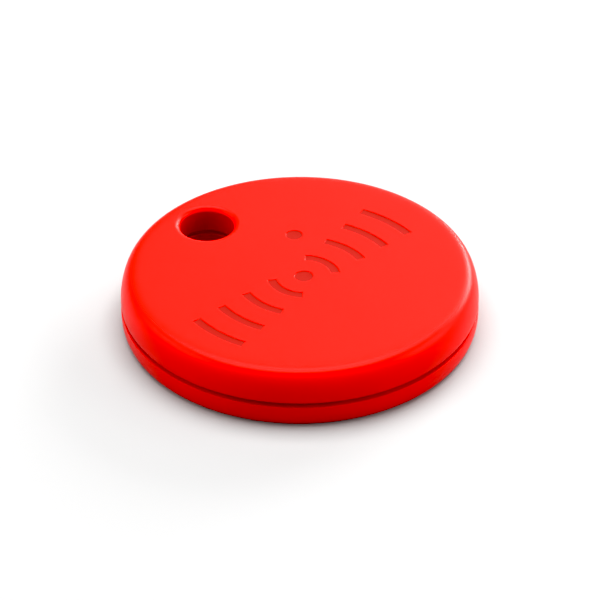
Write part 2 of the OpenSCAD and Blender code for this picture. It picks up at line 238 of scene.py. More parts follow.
def keep(piece, *others):
    return combine(piece, others, "INTERSECT")


def discard(piece):
    mesh = piece.data
    bpy.data.objects.remove(piece)
    bpy.data.meshes.remove(mesh)


def merge(pieces, paints=()):
    """Several separate solids as one piece. Paints gives each one's number in the list of materials."""
    bm = bmesh.new()
    for i, piece in enumerate(pieces):
        done = len(bm.faces)
        bm.from_mesh(piece.data)
        bm.faces.ensure_lookup_table()
        for face in bm.faces[done:]:
            face.material_index = paints[i] if paints else 0
        discard(piece)
    return new_piece(bm)


def place(piece, name, body, materials, nodes=(), smooth=32.0):
    """Scales a finished piece to metres, shades it, and gives it its body and materials."""
    mesh = piece.data
    painted = [face.material_index for face in mesh.polygons]
    mesh.transform(Matrix.Diagonal((MM, MM, MM, 1)))
    piece.name = name
    mesh.name = name
    mesh.materials.clear()
    for material in materials if isinstance(materials, (list, tuple)) else [materials]:
        mesh.materials.append(material)
    mesh.polygons.foreach_set("material_index", painted)
    mesh.shade_smooth()
    mesh.set_sharp_from_angle(angle=math.radians(smooth))
    normals = piece.modifiers.new("normals", "WEIGHTED_NORMAL")
    normals.mode = "FACE_AREA_WITH_ANGLE"
    normals.keep_sharp = True
    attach(piece, body)
    if nodes:
        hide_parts(*nodes)
    return piece


# ---- Materials ----

def shader(name, color, roughness, metallic=0.0, specular=0.5):
    material = bpy.data.materials.new(name)
    material.use_nodes = True
    bsdf = material.node_tree.nodes["Principled BSDF"]
    bsdf.inputs["Base Color"].default_value = (*color, 1)
    bsdf.inputs["Roughness"].default_value = roughness
    bsdf.inputs["Metallic"].default_value = metallic
    bsdf.inputs["Specular IOR Level"].default_value = specular
    return material, material.node_tree, bsdf


def noise(tree, scale, detail=3.0, stretch=None):
    """A noise pattern fixed to the object, with its scale in waves per metre."""
    place_at = tree.nodes.new("ShaderNodeTexCoord")
    pattern = tree.nodes.new("ShaderNodeTexNoise")
    pattern.inputs["Scale"].default_value = scale
    pattern.inputs["Detail"].default_value = detail
    source = place_at.outputs["Object"]
    if stretch:
        mapping = tree.nodes.new("ShaderNodeMapping")
        mapping.inputs["Scale"].default_value = stretch
        tree.links.new(source, mapping.inputs["Vector"])
        source = mapping.outputs["Vector"]
    tree.links.new(source, pattern.inputs["Vector"])
    return pattern.outputs["Fac"]


def vary_roughness(tree, bsdf, pattern, low, high):
    spread = tree.nodes.new("ShaderNodeMapRange")
    spread.inputs["From Min"].default_value = 0.3
    spread.inputs["From Max"].default_value = 0.7
    spread.inputs["To Min"].default_value = low
    spread.inputs["To Max"].default_value = high
    tree.links.new(pattern, spread.inputs["Value"])
    tree.links.new(spread.outputs["Result"], bsdf.inputs["Roughness"])


def vary_color(tree, bsdf, pattern, first, second):
    ramp = tree.nodes.new("ShaderNodeValToRGB")
    ramp.color_ramp.elements[0].position = 0.35
    ramp.color_ramp.elements[1].position = 0.65
    ramp.color_ramp.elements[0].color = (*first, 1)
    ramp.color_ramp.elements[1].color = (*second, 1)
    tree.links.new(pattern, ramp.inputs["Fac"])
    tree.links.new(ramp.outputs["Color"], bsdf.inputs["Base Color"])


def bump(tree, bsdf, pattern, depth_mm, soft_mm=0.0):
    """Raises the pattern by its depth. Soft rounds the look of sharp CAD edges by that radius."""
    node = tree.nodes.new("ShaderNodeBump")
    node.inputs["Distance"].default_value = depth_mm * MM
    tree.links.new(pattern, node.inputs["Height"])
    if soft_mm:
        edge = tree.nodes.new("ShaderNodeBevel")
        edge.samples = 6
        edge.inputs["Radius"].default_value = soft_mm * MM
        tree.links.new(edge.outputs["Normal"], node.inputs["Normal"])
    tree.links.new(node.outputs["Normal"], bsdf.inputs["Normal"])


def moulded(name, color, roughness, tint=0.04, grain=5500, depth_mm=0.006, specular=0.4, soft_mm=0.0):
    """Moulded plastic: a fine spark-eroded grain, and faint flow marks in colour and gloss."""
    material, tree, bsdf = shader(name, color, roughness, specular=specular)
    darker = tuple(c * (1 - tint) for c in color)
    vary_color(tree, bsdf, noise(tree, 160, 2), darker, color)
    vary_roughness(tree, bsdf, noise(tree, 900, 4), roughness - 0.03, roughness + 0.03)
    bump(tree, bsdf, noise(tree, grain, 4), depth_mm, soft_mm)
    return material


def metal(name, color, roughness, stretch=(1, 1, 1), depth_mm=0.002, grain=2500, soft_mm=0.0):
    """Plated or rolled metal, with fine drawing lines across the stretched direction."""
    material, tree, bsdf = shader(name, color, roughness, metallic=1.0)
    darker = tuple(c * 0.86 for c in color)
    vary_color(tree, bsdf, noise(tree, 400, 3), darker, color)
    vary_roughness(tree, bsdf, noise(tree, grain, 3, stretch), roughness - 0.08, roughness + 0.1)
    bump(tree, bsdf, noise(tree, grain, 3, stretch), depth_mm, soft_mm)
    return material


def rubber(name, color, grain=3000, depth_mm=0.004):
    material, tree, bsdf = shader(name, color, 0.6, specular=0.35)
    vary_roughness(tree, bsdf, noise(tree, grain / 2, 3), 0.5, 0.72)
    vary_color(tree, bsdf, noise(tree, grain / 6, 2), tuple(c * 0.8 for c in color), color)
    bump(tree, bsdf, noise(tree, grain, 3), depth_mm)
    return material


def foam(name, color):
    """Closed-cell foam: small open pores over its skin."""
    material, tree, bsdf = shader(name, color, 0.9, specular=0.15)
    place_at = tree.nodes.new("ShaderNodeTexCoord")
    pores = tree.nodes.new("ShaderNodeTexVoronoi")
    pores.inputs["Scale"].default_value = 4200
    tree.links.new(place_at.outputs["Object"], pores.inputs["Vector"])
    vary_color(tree, bsdf, noise(tree, 2500, 3), tuple(c * 0.55 for c in color), color)
    vary_roughness(tree, bsdf, noise(tree, 1200, 2), 0.82, 0.96)
    bump(tree, bsdf, pores.outputs["Distance"], 0.05)
    return material


SOFT = 0.06
RED = (0.7, 0.0072, 0.0035)
red_plastic = moulded("red_shell_plastic", RED, 0.34, specular=0.05)
# Painted shade: a much darker copy of the shell red for the engraved floor, with a finer grain.
red_recess_painted_shade = moulded("red_recess_painted_shade_plastic", (0.225, 0.006, 0.0028), 0.5, grain=9000, specular=0.05)
# Painted shade: a darker copy of the shell red for the keyring hole's wall and the upright wall in the seam's
# gap.
red_painted_shade = moulded("red_plastic_painted_shade", (0.45, 0.006, 0.0035), 0.6, specular=0.05)
seal_rubber = rubber("seal_rubber", (0.02, 0.02, 0.022))
pad_foam = foam("pad_foam", (0.045, 0.045, 0.05))
frame_plastic = moulded("frame_plastic", (0.3, 0.295, 0.275), 0.45, soft_mm=SOFT)
solder_mask = moulded("solder_mask", (0.012, 0.1, 0.035), 0.3, tint=0.2, grain=1600, depth_mm=0.004,
                      specular=0.5)
mask_on_copper = moulded("mask_on_copper", (0.03, 0.17, 0.06), 0.28, grain=1600, depth_mm=0.003, specular=0.5)
laminate_edge = moulded("laminate_edge", (0.42, 0.4, 0.2), 0.7, tint=0.3, grain=7000, depth_mm=0.01)
gold_pad = metal("gold_pad", (0.85, 0.62, 0.26), 0.32)
solder = metal("solder", (0.7, 0.7, 0.71), 0.3, depth_mm=0.01)
plated_metal = metal("plated_metal", (0.7, 0.7, 0.7), 0.34, (1, 6, 1), soft_mm=0.04)
chip_resin = moulded("chip_resin", (0.02, 0.02, 0.022), 0.5, tint=0.3, grain=6000, depth_mm=0.008)
white_ceramic = moulded("white_ceramic", (0.5, 0.495, 0.46), 0.35, grain=4500, depth_mm=0.004)
ferrite = moulded("ferrite", (0.05, 0.05, 0.055), 0.55, tint=0.35, grain=4000, depth_mm=0.012)
copper_wire = metal("copper_wire", (0.62, 0.22, 0.09), 0.28, (1, 1, 12))
tantalum_resin = moulded("tantalum_resin", (0.72, 0.36, 0.05), 0.42, tint=0.12, soft_mm=0.04)
capacitor_ceramic = moulded("capacitor_ceramic", (0.36, 0.23, 0.12), 0.45, tint=0.15, soft_mm=0.03)
contact_spring = metal("contact_spring", (0.86, 0.64, 0.3), 0.28, (1, 8, 1), soft_mm=0.03)
spring_steel = metal("spring_steel", (0.74, 0.74, 0.76), 0.2, soft_mm=0.02)
brass_plate = metal("brass_plate", (0.78, 0.54, 0.2), 0.3, (12, 1, 1), soft_mm=0.02)
silvered_ceramic = metal("silvered_ceramic", (0.6, 0.6, 0.59), 0.5, depth_mm=0.006, soft_mm=0.02)
glue = moulded("glue", (0.72, 0.66, 0.54), 0.25, grain=1500, depth_mm=0.015, specular=0.6)
cell_steel = metal("cell_steel", (0.5, 0.505, 0.51), 0.26, (1, 1, 10), depth_mm=0.0015)
cell_satin = metal("cell_satin", (0.46, 0.465, 0.475), 0.4, depth_mm=0.003, grain=5000)
cell_gasket = moulded("cell_gasket", (0.05, 0.05, 0.06), 0.45)
cathode_mix = moulded("cathode_mix", (0.02, 0.02, 0.02), 0.8, grain=3000, depth_mm=0.03)
separator_felt = rubber("separator_felt", (0.8, 0.8, 0.78), 6000, 0.02)
lithium = metal("lithium", (0.6, 0.61, 0.62), 0.5, (10, 1, 1), depth_mm=0.008)


# ---- The two shells ----

def rim_curve(steps):
    """From the outer wall to the face. The curve levels out slowly, so its points crowd at the face."""
    curve = []
    for i in range(steps):
        turn = math.pi / 2 * math.sin(math.pi / 2 * i / steps)
        inwards = RIM_IN * (1 - math.cos(turn) ** FACE_EASE)
        down = RIM_DOWN * (1 - math.sin(turn) ** WALL_EASE)
        curve.append((TAG_R - inwards, TAG_H - down))
    return curve + [(TAG_R - RIM_IN, TAG_H)]


def front_profile():
    """Front shell's section, from the ceiling's edge down the inside and up the outside to the face."""
    inside = arc(SKIRT_IN - DOME_IN, CEILING_Z - DOME_UP, DOME_IN, DOME_UP, 90, 0, 16)
    inner_edge = arc(SKIRT_IN + EDGE_R, SEAM_TOP + EDGE_R, EDGE_R, EDGE_R, 180, 270, 4)
    outer_edge = arc(TAG_R - EDGE_R, SEAM_TOP + EDGE_R, EDGE_R, EDGE_R, 270, 360, 5)
    return inside + inner_edge + outer_edge + rim_curve(48)


def hole_cutter(z_low, z_high, lip, mouth_up):
    """What a keyring hole with one rounded lip takes away. The lip is at z_high if it looks up."""
    if mouth_up:
        flare = arc(HOLE_R + lip, z_high - lip, lip, lip, 180, 90, 12)
        profile = [(HOLE_R, z_low)] + flare + [(HOLE_R + lip, z_high + 1)]
    else:
        flare = arc(HOLE_R + lip, z_low + lip, lip, lip, 270, 180, 10)
        profile = [(HOLE_R + lip, z_low - 1)] + flare + [(HOLE_R, z_high)]
    return lathe(profile, SMALL_TURN * 2, HOLE.xy)


def in_bore(face):
    """Whether a face belongs to the upright wall of the keyring hole. These faces are painted darker as
    painted shade in the bore.
    """
    away = (face.center - HOLE).xy
    return away.length < HOLE_R + 0.05 and abs(face.normal.z) < 0.3 and away.dot(face.normal.xy) < 0


def in_seam(face):
    """Whether a face belongs to the upright wall that shows in the gap between the shells. These faces are
    painted darker as painted shade in the gap.
    """
    away = face.center.xy
    upright = SHOULDER_Z < face.center.z < SPIGOT_TOP and face.normal.z < 0.9
    return upright and abs(away.length - SPIGOT_OUT) < 0.12


def engraved(outline, centre):
    """Cutter for one engraved stroke: a drafted wall and a broken upper edge."""
    floor_z = TAG_H - MARK_DEPTH
    root, break_out, break_down = 0.03, 0.06, 0.03
    levels = [(floor_z, root), (floor_z + 0.02, 0.0), (TAG_H - break_down, 0.0), (TAG_H, -break_out),
              (TAG_H + 0.5, -break_out)]
    rings = [[(centre.x + x, centre.y + y, z) for x, y in shrink(outline, inset)] for z, inset in levels]
    return loft(rings)


def engraving():
    strokes = [engraved(circle(MARK_DOT_R), MARK), engraved(circle(SPOT_R), SPOT)]
    for side in (0, 180):
        for i in range(1, WAVES + 1):
            radius = i * WAVE_PITCH
            half_h = WAVE_HALF_H + WAVE_GROWTH * i
            width = 2 * math.degrees(math.asin(half_h / radius))
            strokes.append(engraved(sector(radius - STROKE / 2, radius + STROKE / 2, side, width), MARK))
    return merge(strokes)


def ring_block(r_in, r_out, z0, z1, middle, width, centre=(0, 0)):
    return prism(sector(r_in, r_out, middle, width), z0, z1, centre=centre)


HOOK_ANGLES = (30, 150, 195, 240, 300, 345)
HOOK_Z = (4.2, 4.48)
SWITCH_AT = (0, 2.0)
PIEZO_AT = (0, -8.6)
EYELET_GROOVE_Z = (3.95, 4.35)


def front_shell():
    shell = lathe(front_profile())
    add(shell, lathe([(COLLAR_R, FRONT_COLLAR_Z), (COLLAR_R, CEILING_Z + 0.3)], SMALL_TURN * 2, HOLE.xy))
    # The button under the face reaches down to the switch.
    add(shell, prism(circle(1.0), 5.44, CEILING_Z + 0.2, centre=SWITCH_AT))
    for angle in HOOK_ANGLES:
        add(shell, ring_block(SPIGOT_IN, SKIRT_IN + 0.3, *HOOK_Z, angle, 14))
    # Three short ribs centre the buzzer's disc.
    for angle in (30, 150, 270):
        add(shell, ring_block(7.1, 7.5, 5.3, CEILING_Z + 0.1, angle, 30, PIEZO_AT))
    cut(shell, hole_cutter(2.0, TAG_H, LIP_R, True))
    low, high = EYELET_GROOVE_Z
    groove_in, groove_out = 3.45, COLLAR_R + 0.05
    cut(shell, lathe([(groove_in, low), (groove_out, low), (groove_out, high), (groove_in, high)],
                     SMALL_TURN * 2, HOLE.xy, closed=True))
    cut(shell, engraving())
    # The hole's upright wall is painted a darker red: painted shade in the bore.
    for face in shell.data.polygons:
        # The engraved floor is painted a much darker red: painted shade in the recess.
        on_floor = abs(face.center.z - (TAG_H - MARK_DEPTH)) < 0.01 and face.normal.z > 0.9
        face.material_index = 1 if on_floor else 2 if in_bore(face) else 0
    place(shell, "front_shell_moulding", "front", [red_plastic, red_recess_painted_shade, red_painted_shade],
          ["front_shell"])


def back_profile():
    """Back cover's section, from the resting face up the outside, over the spigot and down to the floor."""
    foot = arc(TAG_R - FOOT_IN, FOOT_UP, FOOT_IN, FOOT_UP, 270, 360, 24)
    shoulder = arc(TAG_R - EDGE_R, SHOULDER_Z - EDGE_R, EDGE_R, EDGE_R, 0, 90, 5)
    root = arc(SPIGOT_OUT + 0.1, SHOULDER_Z + 0.1, 0.1, 0.1, 270, 180, 3)
    groove = [(SPIGOT_OUT, 3.25), (17.25, 3.25), (17.25, 3.75), (SPIGOT_OUT, 3.75)]
    top = [(SPIGOT_OUT, SPIGOT_TOP - 0.08), (SPIGOT_OUT - 0.08, SPIGOT_TOP),
           (SPIGOT_IN + 0.12, SPIGOT_TOP), (SPIGOT_IN, SPIGOT_TOP - 0.12)]
    snap = [(SPIGOT_IN, 3.15), (SPIGOT_IN + 0.2, 3.08), (SPIGOT_IN + 0.2, 2.72), (SPIGOT_IN, 2.65)]
    corner = arc(SPIGOT_IN - 0.3, FLOOR_Z + 0.3, 0.3, 0.3, 0, -90, 5)
    return foot + shoulder + root + groove + top + snap + corner


def back_cover():
    shell = lathe(back_profile())
    ease = 0.08
    outside = [(SLEEVE_OUT, FLOOR_Z / 2), (SLEEVE_OUT, SLEEVE_TOP - ease), (SLEEVE_OUT - ease, SLEEVE_TOP)]
    sleeve = lathe(outside, SMALL_TURN * 2, HOLE.xy)
    # Above the spigot the sleeve stays clear of the front shell's ceiling when the face is pressed.
    clear_r = SPIGOT_OUT - 0.22
    room = [(SPIGOT_OUT, 0), (SPIGOT_OUT, SPIGOT_TOP), (clear_r, SPIGOT_TOP + 0.1), (clear_r, TAG_H)]
    keep(sleeve, lathe(room))
    add(shell, sleeve)
    # Four low feet hold the cell off the floor.
    reach = 8.4
    for angle in range(45, 360, 90):
        x, y = reach * math.cos(math.radians(angle)), reach * math.sin(math.radians(angle)) - 3.2
        add(shell, prism(rectangle(2, 2, 0.3), FLOOR_Z - 0.1, 0.92, centre=(x, y), turn=angle))
    cut(shell, hole_cutter(0, 8, BACK_LIP_R, False))
    mouth = [(SLEEVE_IN, SLEEVE_TOP - 0.15), (SLEEVE_IN + 0.15, SLEEVE_TOP), (SLEEVE_IN + 0.15, 8)]
    cut(shell, lathe([(SLEEVE_IN, BACK_COLLAR_Z)] + mouth, SMALL_TURN * 2, HOLE.xy))
    # The pry slot beside the keyring hole.
    cut(shell, prism(rectangle(7, 2.4, 0.4), 1.9, 2.45, centre=(0, SKIRT_IN + 1.2)))
    # The hole's upright wall and the spigot wall in the seam's gap are painted a darker red: painted shade in
    # the bore and the gap.
    for face in shell.data.polygons:
        face.material_index = 1 if in_bore(face) or in_seam(face) else 0
    place(shell, "back_cover_moulding", "back", [red_plastic, red_painted_shade], ["back_cover"])


front_shell()
back_cover()


# ---- Seals, pad and coin cell ----

CELL = Vector((0, -3.2, 0))
CELL_R = 10.0
CELL_Z = 0.95
CELL_TOP = 4.15
CELL_WALL = 0.25
CAN_LIP = 9.35
CAN_TOP = 3.9
FOLD_Z = 3.4
CRIMP_H = 0.65
CAP_R = 8.85
CAP_FOOT = 2.15
CAP_INNER = 8.3
SEAM_WIRE_R = 0.22


def seal(name, body, node, ring_r, wire_r, z, centre=(0, 0)):
    ring = lathe(circle(wire_r, 20, (ring_r, z)), TURN, centre, closed=True)
    place(ring, name, body, seal_rubber, [node], smooth=80)


def battery_pad():
    low, high = size_of("battery_pad")
    r = high.x
    corner = 0.07
    side = arc(r - corner, high.z - corner, corner, corner, 0, 90, 5)
    line = [(r - 1.2, high.z), (r - 1.35, high.z - 0.02), (r - 1.5, high.z)]
    pad = lathe([(r, low.z)] + side + line, TURN, CELL.xy)
    place(pad, "battery_pad_foam", "back", pad_foam, ["battery_pad"])


def battery_can():
    corner = arc(CELL_R - 0.4, CELL_Z + 0.4, 0.4, 0.4, 270, 360, 8)
    crimp = arc(CAN_LIP, CAN_TOP - CRIMP_H, CELL_R - CAN_LIP, CRIMP_H, 0, 90, 12)
    inside = [(CAN_LIP, FOLD_Z), (CELL_R - CELL_WALL, FOLD_Z), (CELL_R - CELL_WALL, CELL_Z + CELL_WALL)]
    ring = [(7.6, CELL_Z), (7.65, CELL_Z + 0.03), (7.85, CELL_Z + 0.03), (7.9, CELL_Z)]
    can = lathe([(7.2, CELL_Z)] + ring + corner + crimp + inside, TURN, CELL.xy)
    # A plain plus sign is pressed into the positive face.
    arm, width = 2.4, 0.5
    for w, d in ((arm, width), (width, arm)):
        cut(can, prism(rectangle(w, d, 0.1), CELL_Z - 0.1, CELL_Z + 0.05, centre=(CELL.x, CELL.y + 4.6)))
    place(can, "battery_can_steel", "cell", cell_steel, ["battery_can"])


def battery_gasket():
    t = 0.3
    out = CELL_R - CELL_WALL
    crown = arc((CAN_LIP + CAP_R) / 2, CAN_TOP - 0.05, (CAN_LIP - CAP_R) / 2, 0.05, 0, 180, 8)
    section = [(CAP_R - t, CAP_FOOT - t), (out, CAP_FOOT - t), (out, FOLD_Z), (CAN_LIP, FOLD_Z)]
    ring = lathe(section + crown + [(CAP_R, CAP_FOOT), (CAP_R - t, CAP_FOOT)], TURN, CELL.xy, closed=True)
    place(ring, "battery_gasket_ring", "cell", cell_gasket, ["battery_gasket"])


def battery_cap():
    round_r = 0.35
    edge = arc(CAP_R - 0.1 - round_r, CELL_TOP - round_r, round_r, round_r, 0, 90, 8)
    step = [(7.7, CELL_TOP), (7.62, CELL_TOP - 0.04)]
    ceiling = CELL_TOP - CELL_WALL
    inside = [(CAP_INNER - 0.6, ceiling), (CAP_INNER, ceiling), (CAP_INNER, CAP_FOOT)]
    outside = [(CAP_R, CAP_FOOT), (CAP_R, CELL_TOP - round_r - 0.1)]
    cap = lathe(inside + outside + edge + step, TURN, CELL.xy)
    place(cap, "battery_cap_steel", "cell", cell_satin, ["battery_cap"])


seal("perimeter_seal_ring", "back", "perimeter_seal", 17.47, SEAM_WIRE_R, 3.5)
seal("eyelet_seal_ring", "front", "eyelet_seal", 3.61, 0.16, 4.15, HOLE.xy)
battery_pad()
battery_can()
battery_gasket()
battery_cap()


# ---- Board and the parts on it ----

board_lo, board_hi = size_of("circuit_board")
BOARD_Z = board_lo.z
BOARD_TOP = board_hi.z
BOARD_R = board_hi.x
FILM = 0.02
RADIO = Vector((-9.2, 8.2))
RADIO_TURN = 48
RADIO_W = 5.0
RADIO_PITCH = 0.62
RADIO_PADS = 7
COIL = Vector((9.2, 8.1))
COIL_TURN = 41
ANTENNA = Vector((-13, -3.2))
DRIVER = Vector((12.9, 1.6))
DRIVER_SIZE = (1.6, 2.9)
TANTALUM = Vector((13.1, -3.6))
RF_CRYSTAL = Vector((-4.8, 9.2))
CLOCK_CRYSTAL = Vector((-13.3, 1.55))
# Ceramic capacitors' middles and directions.
CAPACITORS = [((5.3, 9.6), 30), ((4.1, 8.3), 30), ((5.6, 6.9), 60), ((-12.6, 5.9), 60), ((-5.4, 7.3), 120)]
RESISTOR_ANGLES = (-24, -32, 204, 212)
RESISTOR_REACH = 12.6
SMALL = (1.0, 0.5)
SMALL_H = 0.4


def turned(at, turn, x, y):
    """A place given as along and across a part that is turned about its middle."""
    c, s = math.cos(math.radians(turn)), math.sin(math.radians(turn))
    return (at[0] + c * x - s * y, at[1] + s * x + c * y)


def block(size, at, low, high, turn=0.0, corner=0.0, bevel=0.0):
    return prism(rectangle(size[0], size[1], corner), low, high, bevel, at, turn)


def under(node):
    """Height of a part's lower face, for parts that hang under the board."""
    return size_of(node)[0].z


def resistor_spots():
    return [(turned(CELL.xy, a, RESISTOR_REACH, 0), a) for a in RESISTOR_ANGLES]


def trace(points, width=0.22):
    """A track under the board through a few points, with round corners."""
    parts = []
    for (ax, ay), (bx, by) in zip(points, points[1:]):
        middle = ((ax + bx) / 2, (ay + by) / 2)
        turn = math.degrees(math.atan2(by - ay, bx - ax))
        length = math.hypot(bx - ax, by - ay)
        parts.append(block((length, width), middle, BOARD_Z - FILM, BOARD_Z + FILM, turn))
        parts.append(prism(circle(width / 2, 12), BOARD_Z - FILM, BOARD_Z + FILM, centre=(bx, by)))
    return parts


def radio_pads():
    """Middle and direction of each contact along the radio chip's four sides."""
    middle = (RADIO_PADS - 1) / 2
    return [(side * 90 + RADIO_TURN, (k - middle) * RADIO_PITCH)
            for side in range(4) for k in range(RADIO_PADS)]


def via(radius, at):
    return prism(circle(radius, 16), BOARD_Z - 1.5 * FILM, BOARD_Z + FILM, centre=at)


# Tracks between the parts, each through a few points.
LINKS = [
    [(-11.6, 4.6), (-12.4, 3.6), (-11.9, 0.2), (-12.9, -1.0)],
    [(5.1, 8.2), (2.2, 7.4), (-2.6, 7.4), (-5.0, 8.4)],
    [(10.4, 5.6), (11.6, 4.2), (11.6, 2.6)],
    [(12.9, -0.4), (12.9, -1.6), (13.1, -2.4)],
    [(7.9, 5.4), (3.4, 5.4), (-3.4, 5.4), (-6.0, 6.2)],
    [(9.6, 4.9), (9.6, 3.9), (11.4, 0.6)],
]


def radio_fan_out():
    """A short track and a via from each contact of the radio chip that has room for them."""
    tracks, vias = [], []
    for number, (turn, across) in enumerate(radio_pads()):
        start = turned(RADIO, turn, RADIO_W / 2, across)
        end = turned(RADIO, turn, RADIO_W / 2 + 0.45 + 0.3 * (number % 3), across * 1.12)
        if math.hypot(*end) < BOARD_R - 1.2 and math.hypot(end[0] - HOLE.x, end[1] - HOLE.y) > 5.1:
            tracks += trace([start, end], 0.16)
            vias.append(via(0.2, end))
    return tracks, vias


def solder_pads():
    pads = []
    for at, turn in CAPACITORS + resistor_spots():
        for side in (-1, 1):
            middle = turned(at, turn, side * 0.52, 0)
            pads.append(block((0.62, 0.66), middle, BOARD_Z - 2 * FILM, BOARD_Z + FILM, turn, 0.1))
    return pads


def circuit_board():
    board = prism(circle(BOARD_R, TURN), BOARD_Z, BOARD_TOP, 0.03)
    cut(board, prism(circle(4.7, SMALL_TURN), 0, TAG_H, centre=HOLE.xy))
    tracks, vias = radio_fan_out()
    vias += [via(0.17, turned((0, 0), angle, BOARD_R - 1.15, 0)) for angle in range(-150, 60, 10)]
    for link in LINKS:
        tracks += trace(link)
        vias.append(via(0.24, link[0]))
    pads = solder_pads()
    paints = [0] + [2] * len(tracks) + [3] * len(vias) + [4] * len(pads)
    piece = merge([board] + tracks + vias + pads, paints)
    for face in piece.data.polygons:
        at_edge = abs(face.normal.z) < 0.3 and face.center.xy.length > 8
        if face.material_index == 0 and at_edge:
            face.material_index = 1
    place(piece, "circuit_board_laminate", "core",
          [solder_mask, laminate_edge, mask_on_copper, gold_pad, solder], ["circuit_board"])


def radio_chip():
    low = under("radio_chip")
    body = block((RADIO_W, RADIO_W), RADIO, low, BOARD_Z - 0.03, RADIO_TURN, 0.05, 0.04)
    corner = turned(RADIO, RADIO_TURN, -RADIO_W / 2 + 0.6, -RADIO_W / 2 + 0.6)
    cut(body, prism(circle(0.25, 24), low - 0.1, low + 0.04, centre=corner))
    pads = [block((0.34, 0.28), turned(RADIO, turn, RADIO_W / 2 - 0.15, across), BOARD_Z - 0.2, BOARD_Z, turn)
            for turn, across in radio_pads()]
    chip = merge([body] + pads, [0] + [1] * len(pads))
    place(chip, "radio_chip_body", "core", [chip_resin, solder], ["radio_chip"])


def crystal(name, node, at, size, turn=0.0):
    """A metal lid on a ceramic base."""
    low = under(node)
    base = block(size, at, BOARD_Z - 0.25, BOARD_Z, turn, 0.1)
    lid = block((size[0] - 0.2, size[1] - 0.2), at, low, BOARD_Z - 0.24, turn, 0.2, 0.04)
    place(merge([base, lid], [1, 0]), name, "core", [plated_metal, white_ceramic], [node])


def chip_antenna():
    """A white ceramic block with printed silver bands and end terminals."""
    low, high = size_of("chip_antenna")
    w, d = high.x - low.x, high.y - low.y
    body = block((w - 0.04, d - 0.04), ANTENNA, low.z + FILM, BOARD_Z, 0, 0.04, 0.04)
    cap, band, pitch = 0.45, 0.18, 0.5
    ends = [block((w, cap), (ANTENNA.x, ANTENNA.y + side * (d - cap) / 2), low.z, BOARD_Z, 0, 0.04, 0.02)
            for side in (-1, 1)]

    def printed(size, x, y):
        return block(size, (ANTENNA.x + x, ANTENNA.y + y), low.z, low.z + 0.1)

    bands = [printed((w * 0.66, band), (0.17 if i % 2 else -0.17) * w, i * pitch) for i in range(-4, 5)]
    rails = [printed((band, band + pitch), (0.46 if i % 2 else -0.46) * w, (i + 0.5) * pitch)
             for i in range(-4, 4)]
    parts = [body] + ends + bands + rails
    place(merge(parts, [0] + [1] * (len(parts) - 1)), "chip_antenna_block", "core",
          [white_ceramic, solder], ["chip_antenna"])


def buzzer_driver():
    low = under("buzzer_driver")
    w, d = DRIVER_SIZE
    waist = BOARD_Z - 0.5
    draft = 0.08
    levels = [(low, draft), (waist, 0), (BOARD_Z - 0.05, draft)]
    outline = rectangle(w, d, 0.06)
    body = loft([[(DRIVER.x + x, DRIVER.y + y, z) for x, y in shrink(outline, inset)] for z, inset in levels])
    cut(body, prism(circle(0.18, 20), low - 0.1, low + 0.04, centre=(DRIVER.x - w / 4, DRIVER.y + d / 3)))
    place(body, "buzzer_driver_body", "core", chip_resin, ["buzzer_driver"])


def coil():
    """A ferrite bobbin with its winding, upside down under the board."""
    base = block((4, 4), COIL, BOARD_Z - 0.4, BOARD_Z, COIL_TURN, 0.3, 0.04)
    post = prism(circle(1.0, 48), BOARD_Z - 1.4, BOARD_Z - 0.3, centre=COIL)
    flange = prism(circle(1.9, SMALL_TURN), BOARD_Z - 1.6, BOARD_Z - 1.3, 0.05, COIL)
    terminals = [block((0.9, 3.4), turned(COIL, COIL_TURN, side * 1.56, 0), BOARD_Z - 0.1,
                       BOARD_Z + FILM / 2, COIL_TURN) for side in (-1, 1)]
    core = merge([add(add(base, post), flange)] + terminals, [0, 1, 1])
    place(core, "coil_core_bobbin", "core", [ferrite, solder], ["coil_core"])
    turns, rise, low = 9, 0.1, BOARD_Z - 1.3
    wires = [p for i in range(turns) for p in arc(1.69, low + rise * (i + 0.5), 0.06, rise / 2, -80, 80, 6)]
    winding = lathe([(1.0, low)] + wires + [(1.0, BOARD_Z - 0.4)], SMALL_TURN, COIL, closed=True)
    place(winding, "coil_winding_wire", "core", copper_wire, ["coil_winding"])


def bulk_capacitor():
    low, high = size_of("bulk_capacitor")
    w, d = high.x - low.x, high.y - low.y
    body = block((w - 0.04, d - 0.3), TANTALUM, low.z, BOARD_Z - 0.04, 0, 0.05, 0.06)
    band = (TANTALUM.x, TANTALUM.y + d / 2 - 0.55)
    stripe = block((w - 0.02, 0.45), band, low.z - 0.01, BOARD_Z - 0.3, 0, 0.05, 0.06)
    ends = [block((w * 0.7, 0.2), (TANTALUM.x, TANTALUM.y + side * (d / 2 - 0.1)), low.z + 0.7, BOARD_Z,
                  0, 0.04) for side in (-1, 1)]
    place(merge([body, stripe] + ends, [0, 1, 2, 2]), "bulk_capacitor_body", "core",
          [tantalum_resin, capacitor_ceramic, solder], ["bulk_capacitor"])


def chips(name, node, spots, materials):
    """Small two-ended parts: a body with a plated cap on each end."""
    pieces, paints = [], []
    for at, turn in spots:
        low = BOARD_Z - SMALL_H
        size = (SMALL[0] - 0.1, SMALL[1] - 0.04)
        pieces.append(block(size, at, low + 0.01, BOARD_Z - 0.01, turn, 0.03, 0.03))
        paints.append(0)
        for side in (-1, 1):
            end = turned(at, turn, side * (SMALL[0] / 2 - 0.12), 0)
            pieces.append(block((0.24, SMALL[1]), end, low, BOARD_Z, turn, 0.05, 0.03))
            paints.append(1)
    place(merge(pieces, paints), name, "core", materials, [node])


